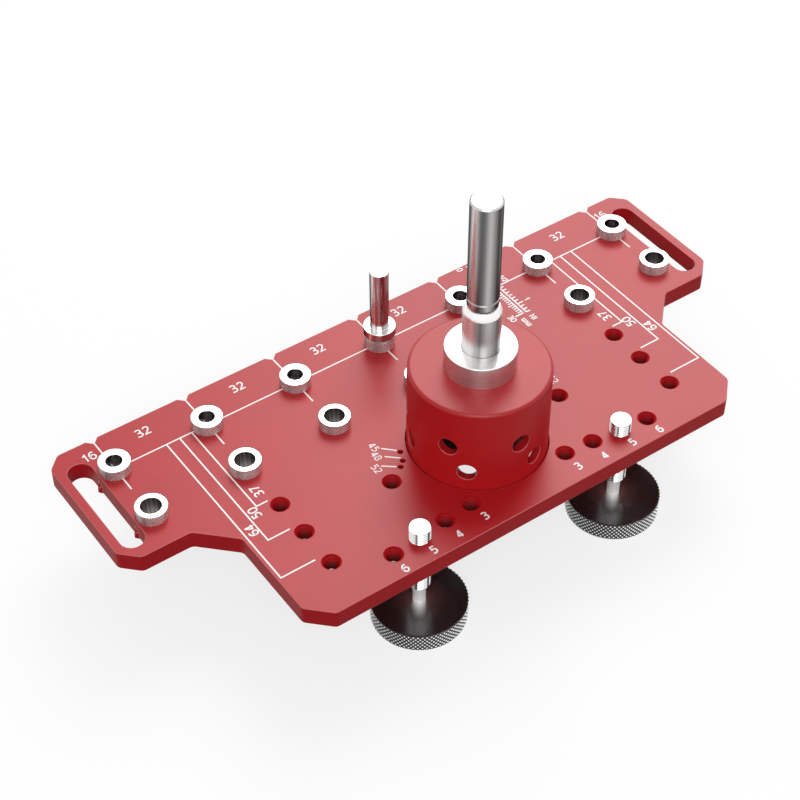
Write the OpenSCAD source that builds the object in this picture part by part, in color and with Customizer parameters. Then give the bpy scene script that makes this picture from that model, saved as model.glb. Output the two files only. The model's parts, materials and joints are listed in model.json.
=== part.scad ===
// Drilling jig for rows of shelf pin holes, with a guide for boring hinge cups.
// Millimetres, Z up. The deck plate lies level and the part stands on its two stop wheels.

/* [Deck plate] */

// thickness of the plate
plate_t = 6.35; // [4:0.05:10]
// distance between neighbouring drill bushes in a row
bush_pitch = 32; // [20:1:50]
// number of drill bushes in a row
bush_count = 7; // [5:2:9]
// distance from the end bush to the end of the plate
end_margin = 16; // [14:0.5:25]
// distance between the two rows of bushes
row_gap = 22; // [16:0.5:32]
// distance from the back row to the back edge
back_reach = 15; // [10:0.5:25]
// distance from the back row to the front edge of the wings
wing_reach = 34.6; // [30:0.2:40]
// margin between the last cup stop hole and the front edge of the body
front_margin = 8.4; // [6:0.2:16]
// half of the body's width
body_half = 79.6; // [75:0.2:90]
// cut corner at the back of a wing
wing_back_cut = 4.4; // [2:0.2:8]
// cut corner at the front of a wing
wing_front_cut = 5.4; // [2:0.2:8]
// slanted step between wing and body
waist_cut = 10.7; // [6:0.1:14]
// cut corner at the front of the body
body_cut = 7; // [3:0.2:12]
// radius that softens the corners of the outline
corner_r = 2.4; // [1:0.1:4]
// depth of the sighting notches in the back edge
notch_depth = 2; // [1:0.1:4]

/* [Wing slots] */

// width of the long slot in each wing
slot_w = 7.7; // [5:0.1:9]
// length of the slot over its round ends
slot_len = 38.8; // [30:0.2:44]
// width of material between the slot and the end of the plate
slot_rim = 2.9; // [2:0.1:5]
// reach of the sighting point into the slot
pointer_reach = 1.1; // [0.5:0.1:2]
// half of the sighting point's width at its foot
pointer_half = 1.3; // [0.6:0.1:2]
// height of the sighting point above the underside
pointer_h = 3.4; // [1.5:0.1:5]

/* [Drill bushes] */

// radius of the knurled head of a bush
bush_head_r = 5; // [4.6:0.1:5.2]
// height of the head above the plate
bush_head_h = 3.7; // [2:0.1:6]
// radius of the body pressed into the plate
bush_body_r = 4.2; // [3.8:0.1:4.5]
// radius of the bores in the back row
small_bore_r = 2.5; // [2:0.05:3]
// radius of the bores in the front row
large_bore_r = 3.175; // [3:0.025:3.5]
// chamfer on the edges of a bush
bush_break = 0.15; // [0.1:0.05:0.5]

/* [Tapped holes] */

// radius of the tapped holes
tap_r = 2.8; // [2:0.1:3.2]
// distance from the centre line to the outer tapped holes
edge_hole_x = 63.5; // [60:0.1:68]
// board edge to pin row, nearest setting of the outer holes
near_setting = 37; // [34:0.5:44]
// board edge to pin row, middle setting of the outer holes
middle_setting = 50; // [47:0.5:56]
// board edge to pin row, farthest setting of the outer holes
far_setting = 64; // [60:0.5:70]
// distance from the centre line to the first cup stop hole
cup_stop_x = 17.7; // [16:0.1:20]
// distance between neighbouring cup stop holes
cup_stop_pitch = 9.9; // [8:0.1:11]
// distance from the cutting circle to the first cup stop hole
cup_stop_gap = 2.95; // [2:0.05:6]
// extra reach of each further cup stop hole
cup_stop_step = 1; // [0.5:0.1:1.5]
// number of cup stop holes on each side
cup_stop_count = 4; // [3:1:5]
// holes counted outwards from the centre line to the one that holds the stop screw
stop_screw_count = 3; // [1:1:4]
// distance from the centre line to the hole beside the guide
side_hole_x = 31.6; // [29:0.1:36]

/* [Hinge screw marks] */

// radius of the holes for marking the hinge screws
mark_r = 0.9; // [0.6:0.1:1.4]
// half of the screw spacing of the narrow hinge pattern
narrow_mark_x = 22.4; // [22:0.1:23]
// distance of the narrow pattern's screws behind the cup centre
narrow_mark_y = 8.6; // [8:0.1:10]
// half of the screw spacing of the middle hinge pattern
middle_mark_x = 23.9; // [23.5:0.1:24.5]
// distance of the middle pattern's screws behind the cup centre
middle_mark_y = 5.2; // [5:0.1:6.5]
// half of the screw spacing of the wide hinge pattern
wide_mark_x = 25.9; // [25.5:0.1:27]
// distance of the wide pattern's screws behind the cup centre
wide_mark_y = 3.5; // [2.5:0.1:4]

/* [Boring guide] */

// space between the front row's bushes and the cup
guide_gap = 3.25; // [2:0.05:8]
// outer radius of the cup
cup_r = 21.5; // [20:0.1:23]
// inner radius of the cup
cup_in_r = 18.9; // [18:0.1:20]
// room between the cutter's hub and the collar's spigot, drawn back
head_room = 2.1; // [1:0.1:6]
// thickness of the top of the cup
cup_top_t = 4; // [3:0.2:6]
// rounding of the cup's upper edge
cup_round = 1.2; // [0.5:0.1:2]
// play of the cup in the plate
cup_play = 0.35; // [0.2:0.05:0.5]
// thickness of the ledge that carries the cup
ledge_t = 1.5; // [1:0.1:3]
// radius of the chip holes in the cup's wall
chip_r = 3; // [2:0.1:3.4]
// number of chip holes in a ring
chip_count = 6; // [4:1:8]
// height of the lower ring of chip holes above the plate
chip_low_z = 7; // [5:0.2:9]
// height of the upper ring of chip holes above the plate
chip_high_z = 15.8; // [14:0.2:18]
// direction of the first chip hole in the lower ring, in degrees
chip_low_turn = 224.2; // [180:0.2:270]
// turn of the upper ring against the lower, in degrees
chip_high_turn = -16; // [-30:1:30]
// outer radius of the steel collar on the cup
collar_r = 10.8; // [9:0.1:13]
// height of the collar above the cup
collar_h = 7.8; // [5:0.1:12]
// radius of the collar's spigot in the cup
spigot_r = 8.5; // [7:0.1:10]
// depth of the spigot under the cup's top face
spigot_depth = 10; // [6:0.2:11]
// chamfer on the collar
collar_break = 0.2; // [0.1:0.1:1]

/* [Bearing sleeve and bit] */

// outer radius of the bearing sleeve
sleeve_r = 5.8; // [5:0.1:7]
// running clearance between turning or sliding pieces
run_play = 0.05; // [0.02:0.01:0.08]
// height of the sleeve's rim above the collar
sleeve_up = 13.4; // [8:0.2:20]
// height of the cone on top of the sleeve
sleeve_cone_h = 2.4; // [0.6:0.1:3]
// radius of the cone's upper end
sleeve_tip_r = 4.95; // [4.2:0.05:5.5]
// radius of the spindle inside the sleeve
spindle_r = 3.5; // [3:0.1:4]
// end play of the sleeve on the bit
end_play = 0.2; // [0.1:0.05:0.4]
// radius of the drive shank
shank_r = 4.75; // [4:0.05:5]
// length of the drive shank
shank_len = 37.1; // [30:0.1:50]
// chamfer on the ends of the shank
shank_break = 0.5; // [0.4:0.1:1.5]
// height of the shallow ring groove above the shank's lower end
shank_groove_z = 2.6; // [2:0.1:6]
// width of the ring groove
shank_groove_w = 0.5; // [0.3:0.1:1]
// depth of the ring groove
shank_groove_d = 0.3; // [0.2:0.05:0.5]
// radius of the stub that joins spindle and shank
stub_r = 2.5; // [2:0.1:3]
// depth of the stub in the shank
stub_len = 12; // [8:0.5:16]

/* [Cutter] */

// cutting radius
cutter_r = 17.5; // [15:0.1:17.5]
// height of the cutting edges above the plate, drawn back
cutter_lift = 8; // [6:0.2:10]
// height of the cutter head
head_t = 9.5; // [7:0.1:10]
// side relief of the head inside the cutting radius
head_relief = 0.25; // [0.1:0.05:0.4]
// height of the rim's straight side
rim_h = 6.4; // [5:0.1:8]
// thickness of the rim
rim_t = 1.8; // [1.2:0.1:3]
// depth of the hollow inside the rim
web_z = 2.6; // [1.5:0.1:4]
// radius of the hub on top of the head
hub_r = 6.4; // [5:0.1:8]
// height of the hub's step above the head
hub_step = 1; // [0.5:0.1:2]
// radius of the core that the gullets leave
core_r = 5.2; // [4.8:0.1:6]
// angle of each gullet, in degrees
gullet_angle = 62; // [40:1:75]
// thickness of a cutting lip
lip_t = 2.2; // [1.5:0.1:3]
// height of a cutting lip
lip_h = 5.4; // [4:0.1:6.4]
// radius where a cutting lip starts
lip_in_r = 2.4; // [2.1:0.1:3]
// rise of the lip's underside behind its edge
lip_relief = 0.8; // [0.3:0.1:1.5]
// drop of the lips behind the spurs
lip_drop = 0.6; // [0.3:0.1:1]
// angle covered by a spur, in degrees
spur_angle = 12; // [8:1:20]
// height of a spur
spur_h = 5.6; // [4:0.1:6]
// rise of the spur's underside behind its edge
spur_rise = 1.4; // [0.5:0.1:2]
// radius of the centre point's stem
point_r = 2; // [1.5:0.1:2.2]
// reach of the centre point below the lips
point_drop = 1.8; // [1:0.1:3]
// height of the centre point's cone
point_cone_h = 3.2; // [2:0.1:4]
// height of the centre point's stem in the head
point_stem_h = 4; // [2:0.1:6]

/* [Index pin] */

// radius of the pin's upper shank
grip_r = 3; // [2.5:0.1:3.2]
// height of the pin above the bush
grip_top = 26.4; // [20:0.2:32]
// radius of the pin's collar
pin_collar_r = 5.1; // [4.5:0.1:5.2]
// height of the pin's collar
pin_collar_h = 4; // [2:0.1:5]
// play of the pin in the bush
pin_play = 0.03; // [0.02:0.01:0.06]
// reach of the pin below the plate
pin_below = 9; // [5:0.5:14]
// chamfer on the pin's ends
pin_break = 0.2; // [0.1:0.1:1]
// bushes counted from the left end of the back row to the one that holds the pin
pin_bush_count = 4; // [1:1:7]

/* [Stop screws] */

// radius of the thread on the stop screw
thread_r = 3.3; // [3.1:0.05:3.6]
// play of the screw's core in the tapped hole
core_play = 0.05; // [0.03:0.01:0.08]
// height of the screw above the plate
screw_up = 4.5; // [2:0.1:8]
// length of the thread below the plate
screw_down = 13.85; // [10:0.05:20]
// radius of the neck between thread and wheel
neck_r = 2; // [1.5:0.1:2.4]
// length of the neck
neck_len = 7.2; // [4:0.2:10]
// chamfer on the ends of the thread
screw_break = 0.3; // [0.2:0.1:1.2]
// radius of the wheel
wheel_r = 14.9; // [12:0.1:16]
// thickness of the wheel
wheel_t = 6.5; // [4:0.1:9]
// chamfer on the wheel
wheel_break = 0.6; // [0.3:0.1:1.2]
// cover left under the screw's neck in the wheel
wheel_cover = 1.5; // [0.8:0.1:3]

/* [Hidden] */

// overshoot of every cutting body
over = 1;
// share of the inner radius where the chip hole cutters start
chip_start_share = 0.5;
// segments on a softened corner and on the cup's round edge
corner_steps = 4;
round_steps = 5;
$fn = 96;

half_count = (bush_count - 1) / 2;
wing_half = half_count * bush_pitch + end_margin;
slot_x = wing_half - slot_rim - slot_w / 2;
slot_y = -row_gap / 2;
guide_reach = row_gap + bush_head_r + guide_gap + cup_r;
cup_h = cutter_lift + head_t + hub_step + head_room + spigot_depth;
cup_stop_reach = guide_reach + cutter_r + cup_stop_gap;
body_reach = cup_stop_reach + (cup_stop_count - 1) * cup_stop_step + front_margin;
cup_stop_far = cup_stop_reach + (stop_screw_count - 1) * cup_stop_step;
cup_stop_out = cup_stop_x + (stop_screw_count - 1) * cup_stop_pitch;
edge_settings = [near_setting, middle_setting, far_setting];
mark_x = [narrow_mark_x, middle_mark_x, wide_mark_x];
mark_y = [narrow_mark_y, middle_mark_y, wide_mark_y];
row_y = (cup_stop_far + wheel_r - back_reach) / 2;
deck_z = plate_t + screw_down + neck_len + wheel_t;
cup_seat_z = ledge_t - plate_t;
collar_top_z = cup_h + collar_h;
sleeve_rim_z = collar_top_z + sleeve_up;
sleeve_low_z = cutter_lift + head_t + hub_step + end_play;
sleeve_high_z = sleeve_rim_z + sleeve_cone_h;
shank_z = sleeve_high_z + end_play;
head_r = cutter_r - head_relief;
rim_in_r = cutter_r - rim_t;
screw_core_r = tap_r - core_play;

// Flat outline helpers

function unit(v) = v / norm(v);
function wrap(a) = a > 180 ? a - 360 : (a < -180 ? a + 360 : a);

// points of the arc that softens the corner p between a and b
function corner_arc(a, p, b, r) =
  let (
    u = unit(a - p),
    w = unit(b - p),
    half = acos(u * w) / 2,
    c = p + unit(u + w) * r / sin(half),
    s = p + u * r / tan(half) - c,
    e = p + w * r / tan(half) - c,
    from = atan2(s[1], s[0]),
    sweep = wrap(atan2(e[1], e[0]) - from)
  )
  [for (i = [0:corner_steps])
    let (a = from + sweep * i / corner_steps)
    c + r * [cos(a), sin(a)]];

function flatten(lists) = [for (l = lists) for (p = l) p];

// the outline runs against the clock from the front right corner, and every corner but a notch is softened
side = [
  [body_half - body_cut, -body_reach],
  [body_half, body_cut - body_reach],
  [body_half, -wing_reach - waist_cut],
  [body_half + waist_cut, -wing_reach],
  [wing_half - wing_front_cut, -wing_reach],
  [wing_half, wing_front_cut - wing_reach],
  [wing_half, back_reach - wing_back_cut],
  [wing_half - wing_back_cut, back_reach]
];
side_n = len(side);
corners = concat(side, [for (i = [side_n - 1:-1:0]) [-side[i][0], side[i][1]]]);
corner_n = len(corners);
soft = [for (i = [0:corner_n - 1])
  corner_arc(corners[(i + corner_n - 1) % corner_n], corners[i], corners[(i + 1) % corner_n], corner_r)];
notches = [for (i = [half_count:-1:-half_count])
  [
    [i * bush_pitch + notch_depth, back_reach],
    [i * bush_pitch, back_reach - notch_depth],
    [i * bush_pitch - notch_depth, back_reach]
  ]];
outline = concat(
  flatten([for (i = [0:side_n - 1]) soft[i]]),
  flatten(notches),
  flatten([for (i = [side_n:corner_n - 1]) soft[i]])
);

module on_deck() {
  translate([0, row_y, deck_z]) children();
}

module on_guide() {
  on_deck() translate([0, -guide_reach, 0]) children();
}

// Deck plate

module plate_blank() {
  translate([0, 0, -plate_t]) linear_extrude(height = plate_t) polygon(outline);
}

module through(r, depth) {
  translate([0, 0, -depth - over]) cylinder(r = r, h = depth + 2 * over);
}

module wing_slot() {
  gap = slot_len - slot_w;
  translate([-slot_w / 2, -gap / 2, -plate_t - over]) cube([slot_w, gap, plate_t + 2 * over]);
  for (s = [-1, 1]) {
    translate([0, s * gap / 2, 0]) through(slot_w / 2, plate_t);
  }
}

// a small wedge on the slot's inner wall, which points at a row of holes
module pointer() {
  intersection() {
    translate([0, 0, -plate_t]) linear_extrude(height = pointer_h) polygon([
      [-over, -pointer_half],
      [0, -pointer_half],
      [pointer_reach, 0],
      [0, pointer_half],
      [-over, pointer_half]
    ]);
    translate([0, pointer_half, -plate_t]) rotate([90, 0, 0])
      linear_extrude(height = 2 * pointer_half) polygon([
      [-over, 0],
      [pointer_reach, 0],
      [pointer_reach, pointer_h / 2],
      [0, pointer_h],
      [-over, pointer_h]
    ]);
  }
}

module base_plate() {
  color("firebrick") on_deck() {
    difference() {
      plate_blank();
      for (i = [-half_count:half_count]) {
        for (y = [0, -row_gap]) {
          translate([i * bush_pitch, y, 0]) through(bush_body_r, plate_t);
        }
      }
      translate([0, -guide_reach, cup_seat_z]) cylinder(r = cup_r + cup_play, h = plate_t + over);
      translate([0, -guide_reach, 0]) through(cup_in_r, plate_t);
      for (s = [-1, 1]) {
        translate([s * slot_x, slot_y, 0]) wing_slot();
        for (d = edge_settings) {
          translate([s * edge_hole_x, -d - thread_r, 0]) through(tap_r, plate_t);
        }
        for (k = [0:cup_stop_count - 1]) {
          translate([s * (cup_stop_x + k * cup_stop_pitch), -cup_stop_reach - k * cup_stop_step, 0])
            through(tap_r, plate_t);
        }
        translate([s * side_hole_x, -guide_reach, 0]) through(tap_r, plate_t);
        for (k = [0:len(mark_x) - 1]) {
          translate([s * mark_x[k], mark_y[k] - guide_reach, 0]) through(mark_r, plate_t);
        }
      }
    }
    for (y = [0, -row_gap]) {
      translate([-slot_x + slot_w / 2, y, 0]) mirror([1, 0, 0]) pointer();
      translate([slot_x - slot_w / 2, y, 0]) pointer();
    }
  }
}

// Drill bushes

module drill_bush(place, y, bore) {
  color("silver") on_deck() translate([(place - 1 - half_count) * bush_pitch, y, 0]) rotate_extrude()
    polygon([
      [bore, -plate_t],
      [bush_body_r - bush_break, -plate_t],
      [bush_body_r, bush_break - plate_t],
      [bush_body_r, 0],
      [bush_head_r, 0],
      [bush_head_r, bush_head_h - bush_break],
      [bush_head_r - bush_break, bush_head_h],
      [bore + bush_break, bush_head_h],
      [bore, bush_head_h - bush_break]
    ]);
}

// Boring guide

module guide_cup() {
  color("firebrick") on_guide() difference() {
    rotate_extrude() polygon(concat(
      [[cup_in_r, cup_seat_z], [cup_r, cup_seat_z]],
      [for (i = [0:round_steps])
        let (a = 90 * i / round_steps)
        [cup_r - cup_round, cup_h - cup_round] + cup_round * [cos(a), sin(a)]],
      [[spigot_r, cup_h], [spigot_r, cup_h - cup_top_t], [cup_in_r, cup_h - cup_top_t]]
    ));
    for (k = [0:chip_count - 1]) {
      rotate([0, 0, chip_low_turn + 360 * k / chip_count]) chip_hole(chip_low_z);
      rotate([0, 0, chip_low_turn + chip_high_turn + 360 * k / chip_count]) chip_hole(chip_high_z);
    }
  }
}

module chip_hole(z) {
  translate([cup_in_r * chip_start_share, 0, z]) rotate([0, 90, 0]) cylinder(r = chip_r, h = cup_r);
}

module guide_collar() {
  bore = sleeve_r + run_play;
  color("gainsboro") on_guide() rotate_extrude() polygon([
    [bore, cup_h - spigot_depth],
    [spigot_r, cup_h - spigot_depth],
    [spigot_r, cup_h],
    [collar_r, cup_h],
    [collar_r, collar_top_z - collar_break],
    [collar_r - collar_break, collar_top_z],
    [bore, collar_top_z]
  ]);
}

module bearing_sleeve() {
  bore = spindle_r + run_play;
  color("lightgray") on_guide() rotate_extrude() polygon([
    [bore, sleeve_low_z],
    [sleeve_r, sleeve_low_z],
    [sleeve_r, sleeve_rim_z],
    [sleeve_tip_r, sleeve_high_z],
    [bore, sleeve_high_z]
  ]);
}

// Bit

module bit_shank() {
  top = shank_z + shank_len;
  groove_z = shank_z + shank_groove_z;
  color("lightgray") on_guide() rotate_extrude() polygon([
    [stub_r, shank_z],
    [shank_r - shank_break, shank_z],
    [shank_r, shank_z + shank_break],
    [shank_r, groove_z],
    [shank_r - shank_groove_d, groove_z],
    [shank_r - shank_groove_d, groove_z + shank_groove_w],
    [shank_r, groove_z + shank_groove_w],
    [shank_r, top - shank_break],
    [shank_r - shank_break, top],
    [0, top],
    [0, shank_z + stub_len],
    [stub_r, shank_z + stub_len]
  ]);
}

module at_cutter() {
  on_guide() translate([0, 0, cutter_lift]) children();
}

// the space ahead of a lip, where the chips rise; the bit turns with the clock, seen from its shank
module gullet() {
  far = cutter_r + cutter_r;
  difference() {
    translate([0, 0, -over]) linear_extrude(height = head_t + 2 * over) polygon(concat(
      [[0, 0]],
      [for (k = [0:2]) far * [cos(gullet_angle * k / 2), -sin(gullet_angle * k / 2)]]
    ));
    translate([0, 0, -2 * over]) cylinder(r = core_r, h = head_t + 4 * over);
  }
}

module lip_body() {
  top = lip_drop + lip_h;
  intersection() {
    cylinder(r = rim_in_r, h = top);
    translate([lip_in_r, 0, 0]) rotate([90, 0, 90]) linear_extrude(height = cutter_r - lip_in_r)
      polygon([[0, lip_drop], [lip_t, lip_drop + lip_relief], [lip_t, top], [0, top]]);
  }
}

module spur_body() {
  far = 2 * cutter_r;
  back = cutter_r * sin(spur_angle);
  intersection() {
    difference() {
      cylinder(r = cutter_r, h = spur_h);
      translate([0, 0, -over]) cylinder(r = rim_in_r, h = spur_h + 2 * over);
    }
    translate([0, 0, -over]) linear_extrude(height = spur_h + 2 * over)
      polygon([[0, 0], [far, 0], [far * cos(spur_angle), far * sin(spur_angle)]]);
    translate([rim_in_r - over, 0, 0]) rotate([90, 0, 90]) linear_extrude(height = rim_t + 2 * over)
      polygon([[0, 0], [back, spur_rise], [back, spur_h], [0, spur_h]]);
  }
}

module cutter_head() {
  color("slategray") at_cutter() difference() {
    rotate_extrude() polygon([
      [0, web_z],
      [rim_in_r, web_z],
      [rim_in_r, rim_t / 2],
      [head_r - rim_t / 2, 0],
      [head_r, rim_t / 2],
      [head_r, rim_h],
      [hub_r, head_t],
      [hub_r, head_t + hub_step],
      [spindle_r, head_t + hub_step],
      [spindle_r, shank_z - cutter_lift],
      [stub_r, shank_z - cutter_lift],
      [stub_r, shank_z + stub_len - cutter_lift],
      [0, shank_z + stub_len - cutter_lift]
    ]);
    for (k = [0, 1]) {
      rotate([0, 0, 180 * k]) {
        gullet();
        lip_body();
        spur_body();
      }
    }
    cylinder(r = point_r, h = web_z + point_stem_h);
  }
}

module cutter_lip(k) {
  color("dimgray") at_cutter() rotate([0, 0, 180 * (k - 1)]) lip_body();
}

module cutter_spur(k) {
  color("dimgray") at_cutter() rotate([0, 0, 180 * (k - 1)]) spur_body();
}

module centre_point() {
  color("dimgray") at_cutter() rotate_extrude() polygon([
    [0, -point_drop],
    [point_r, point_cone_h - point_drop],
    [point_r, web_z + point_stem_h],
    [0, web_z + point_stem_h]
  ]);
}

// Index pin

module index_pin() {
  low_r = small_bore_r - pin_play;
  seat = bush_head_h;
  top = seat + grip_top;
  color("silver") on_deck() translate([(pin_bush_count - 1 - half_count) * bush_pitch, 0, 0]) rotate_extrude()
    polygon([
      [0, -plate_t - pin_below],
      [low_r - pin_break, -plate_t - pin_below],
      [low_r, pin_break - plate_t - pin_below],
      [low_r, seat],
      [pin_collar_r, seat],
      [pin_collar_r, seat + pin_collar_h - bush_break],
      [pin_collar_r - bush_break, seat + pin_collar_h],
      [grip_r, seat + pin_collar_h],
      [grip_r, top - pin_break],
      [grip_r - pin_break, top],
      [0, top]
    ]);
}

// Stop screws

module at_stop(s) {
  on_deck() translate([s * cup_stop_out, -cup_stop_far, 0]) children();
}

module stop_screw(s) {
  low = -plate_t - screw_down;
  color("silver") at_stop(s) rotate_extrude() polygon([
    [0, wheel_cover - deck_z],
    [neck_r, wheel_cover - deck_z],
    [neck_r, low],
    [thread_r - screw_break, low],
    [thread_r, low + screw_break],
    [thread_r, -plate_t],
    [screw_core_r, -plate_t],
    [screw_core_r, 0],
    [thread_r, 0],
    [thread_r, screw_up - screw_break],
    [thread_r - screw_break, screw_up],
    [0, screw_up]
  ]);
}

module stop_wheel(s) {
  color("gainsboro") at_stop(s) translate([0, 0, -deck_z]) rotate_extrude() polygon([
    [0, 0],
    [wheel_r - wheel_break, 0],
    [wheel_r, wheel_break],
    [wheel_r, wheel_t - wheel_break],
    [wheel_r - wheel_break, wheel_t],
    [neck_r, wheel_t],
    [neck_r, wheel_cover],
    [0, wheel_cover]
  ]);
}

base_plate();
for (i = [1:bush_count]) {
  drill_bush(i, 0, small_bore_r);
  drill_bush(i, -row_gap, large_bore_r);
}
guide_cup();
guide_collar();
bearing_sleeve();
bit_shank();
cutter_head();
for (i = [1:2]) {
  cutter_lip(i);
  cutter_spur(i);
}
centre_point();
index_pin();
stop_screw(-1);  // left_stop_screw
stop_wheel(-1);  // left_stop_wheel
stop_screw(1);  // right_stop_screw
stop_wheel(1);  // right_stop_wheel
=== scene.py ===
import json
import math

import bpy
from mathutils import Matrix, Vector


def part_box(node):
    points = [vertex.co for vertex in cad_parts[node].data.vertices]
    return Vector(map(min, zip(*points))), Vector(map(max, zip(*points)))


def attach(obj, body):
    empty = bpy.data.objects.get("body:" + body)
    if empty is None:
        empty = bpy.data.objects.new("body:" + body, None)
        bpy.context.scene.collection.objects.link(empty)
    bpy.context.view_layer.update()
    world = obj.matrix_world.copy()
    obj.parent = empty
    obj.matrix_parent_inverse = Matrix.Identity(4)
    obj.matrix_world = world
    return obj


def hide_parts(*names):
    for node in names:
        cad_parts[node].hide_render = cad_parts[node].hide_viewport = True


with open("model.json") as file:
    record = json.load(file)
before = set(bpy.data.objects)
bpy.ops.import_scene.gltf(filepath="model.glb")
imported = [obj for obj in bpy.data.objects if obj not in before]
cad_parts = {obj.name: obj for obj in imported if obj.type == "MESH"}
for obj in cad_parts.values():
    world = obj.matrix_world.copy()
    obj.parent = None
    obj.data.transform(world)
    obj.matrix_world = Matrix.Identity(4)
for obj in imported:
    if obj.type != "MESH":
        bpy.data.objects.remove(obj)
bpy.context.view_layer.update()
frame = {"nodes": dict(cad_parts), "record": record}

# Looks of the shelf pin jig: finishes, knurls, threads and the printed marks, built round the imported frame.
# Lengths are in metres in the frame's axes, and MM is one millimetre. The printed marks are listed in
# millimetres on the deck, measured from the middle bush of the back row: x to the right, y towards the
# notched edge.

MM = 0.001
TAU = 2 * math.pi


def middle(node):
    low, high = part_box(node)
    return (low + high) / 2


DECK_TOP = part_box("base_plate")[1].z
DECK_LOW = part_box("base_plate")[0].z
MIDDLE_BUSH = middle("small_bush_4")
PRINT_AT = (MIDDLE_BUSH.x, MIDDLE_BUSH.y, DECK_TOP)
GUIDE_AXIS = middle("guide_collar")
OWN_AXIS = (0.0, 0.0)

# The side of a round piece that faces the photograph's camera, as an angle about the vertical
# The painted reflection bands on round sides are laid out from this angle.
VIEWER = math.radians(-128.7)


# Materials

def plug(tree, socket, value):
    """Links an output to the socket, or sets the socket's own value."""
    if isinstance(value, bpy.types.NodeSocket):
        tree.links.new(value, socket)
    else:
        socket.default_value = value


def grey(value):
    return (value, value, value, 1.0)


def tones(low, high):
    """A dark and a light metal grey, a touch warmer than neutral."""
    return [(v, v * 0.985, v * 0.975, 1.0) for v in (low, high)]


class Recipe:
    """A Principled material in the making."""

    def __init__(self, name):
        self.mat = bpy.data.materials.new(name)
        self.mat.use_nodes = True
        self.tree = self.mat.node_tree
        self.shader = next(n for n in self.tree.nodes if n.type == "BSDF_PRINCIPLED")
        self.place = self.node("ShaderNodeTexCoord").outputs["Object"]

    def node(self, kind, settings=None, **sockets):
        made = self.tree.nodes.new(kind)
        for key, value in (settings or {}).items():
            setattr(made, key, value)
        for key, value in sockets.items():
            plug(self.tree, made.inputs[key.replace("_", " ")], value)
        return made

    def calc(self, operation, a, b=None):
        made = self.node("ShaderNodeMath", {"operation": operation})
        plug(self.tree, made.inputs[0], a)
        if b is not None:
            plug(self.tree, made.inputs[1], b)
        return made.outputs[0]

    def vector_calc(self, operation, vector, by):
        made = self.node("ShaderNodeVectorMath", {"operation": operation})
        plug(self.tree, made.inputs[0], vector)
        made.inputs[1].default_value = by
        return made.outputs[0]

    def noise(self, vector, scale, detail=3.0, roughness=0.6):
        sockets = {"Vector": vector, "Scale": scale, "Detail": detail, "Roughness": roughness}
        return self.node("ShaderNodeTexNoise", **sockets).outputs["Fac"]

    def span(self, value, low, high):
        """The value rescaled so that low is 0 and high is 1, and held between them."""
        made = self.node("ShaderNodeMapRange", Value=value, From_Min=low, From_Max=high)
        return made.outputs["Result"]

    def ramp(self, factor, stops):
        """A colour ramp with the given (place, colour) stops."""
        made = self.node("ShaderNodeValToRGB", Fac=factor)
        elements = made.color_ramp.elements
        elements[0].position, elements[1].position = stops[0][0], stops[-1][0]
        elements[0].color, elements[1].color = stops[0][1], stops[-1][1]
        for place, colour in stops[1:-1]:
            elements.new(place).color = colour
        return made.outputs["Color"]

    def greys(self, factor, stops):
        """A ramp of greys with the given (place, tone) stops."""
        return self.ramp(factor, [(place, grey(tone)) for place, tone in stops])

    def mix(self, factor, a, b):
        made = self.node("ShaderNodeMix", {"data_type": "RGBA"})
        plug(self.tree, made.inputs[0], factor)
        plug(self.tree, made.inputs[6], a)
        plug(self.tree, made.inputs[7], b)
        return made.outputs[2]

    def times(self, a, b):
        made = self.node("ShaderNodeMix", {"data_type": "RGBA", "blend_type": "MULTIPLY"})
        made.inputs[0].default_value = 1.0
        plug(self.tree, made.inputs[6], a)
        plug(self.tree, made.inputs[7], b)
        return made.outputs[2]

    def bump(self, height, strength, distance):
        made = self.node("ShaderNodeBump", Height=height, Strength=strength, Distance=distance)
        plug(self.tree, self.shader.inputs["Normal"], made.outputs["Normal"])

    def link(self, **values):
        for key, value in values.items():
            plug(self.tree, self.shader.inputs[key.replace("_", " ")], value)

    def about_axis(self, axis):
        """The place measured from the piece's own axis, the distance from that axis, and the height."""
        centred = self.vector_calc("SUBTRACT", self.place, (axis[0], axis[1], 0.0))
        parts = self.node("ShaderNodeSeparateXYZ", Vector=centred)
        across = self.calc("POWER", parts.outputs["X"], 2.0)
        along = self.calc("POWER", parts.outputs["Y"], 2.0)
        radius = self.calc("SQRT", self.calc("ADD", across, along))
        return centred, radius, parts.outputs["Z"]

    def reflection_bands(self, centred, stops):
        """Painted reflections: light and dark greys that run up a turned piece, as (degrees round from
        VIEWER, tone) stops.
        """
        turn = {"rotation_type": "Z_AXIS"}
        turned = self.node("ShaderNodeVectorRotate", turn, Vector=centred, Angle=-VIEWER)
        parts = self.node("ShaderNodeSeparateXYZ", Vector=turned.outputs[0])
        angle = self.calc("ARCTAN2", parts.outputs["Y"], parts.outputs["X"])
        round_share = self.span(angle, -math.pi, math.pi)
        return self.greys(round_share, [((degrees + 180) / 360, tone) for degrees, tone in stops])

    def facing_up(self):
        """1 on faces that look up, 0 on upright ones and -1 underneath."""
        geometry = self.node("ShaderNodeNewGeometry")
        parts = self.node("ShaderNodeSeparateXYZ", Vector=geometry.outputs["True Normal"])
        return parts.outputs["Z"]


def anodised_red(name, dye, rough, sheen):
    """Bead blasted, dyed aluminium: broad mottling of the dye, dark and light, under a fine grain."""
    red = Recipe(name)
    cloud = red.noise(red.place, scale=38.0, detail=4.0)
    grain = red.noise(red.place, scale=2600.0, roughness=0.7)
    red.link(
        Base_Color=red.ramp(cloud, [(0.25, dye[0]), (0.75, dye[1])]),
        Roughness=red.greys(grain, [(0.3, rough[0]), (0.7, rough[1])]),
        Specular_IOR_Level=sheen)
    red.bump(grain, strength=0.12, distance=0.02 * MM)
    return red.mat


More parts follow.
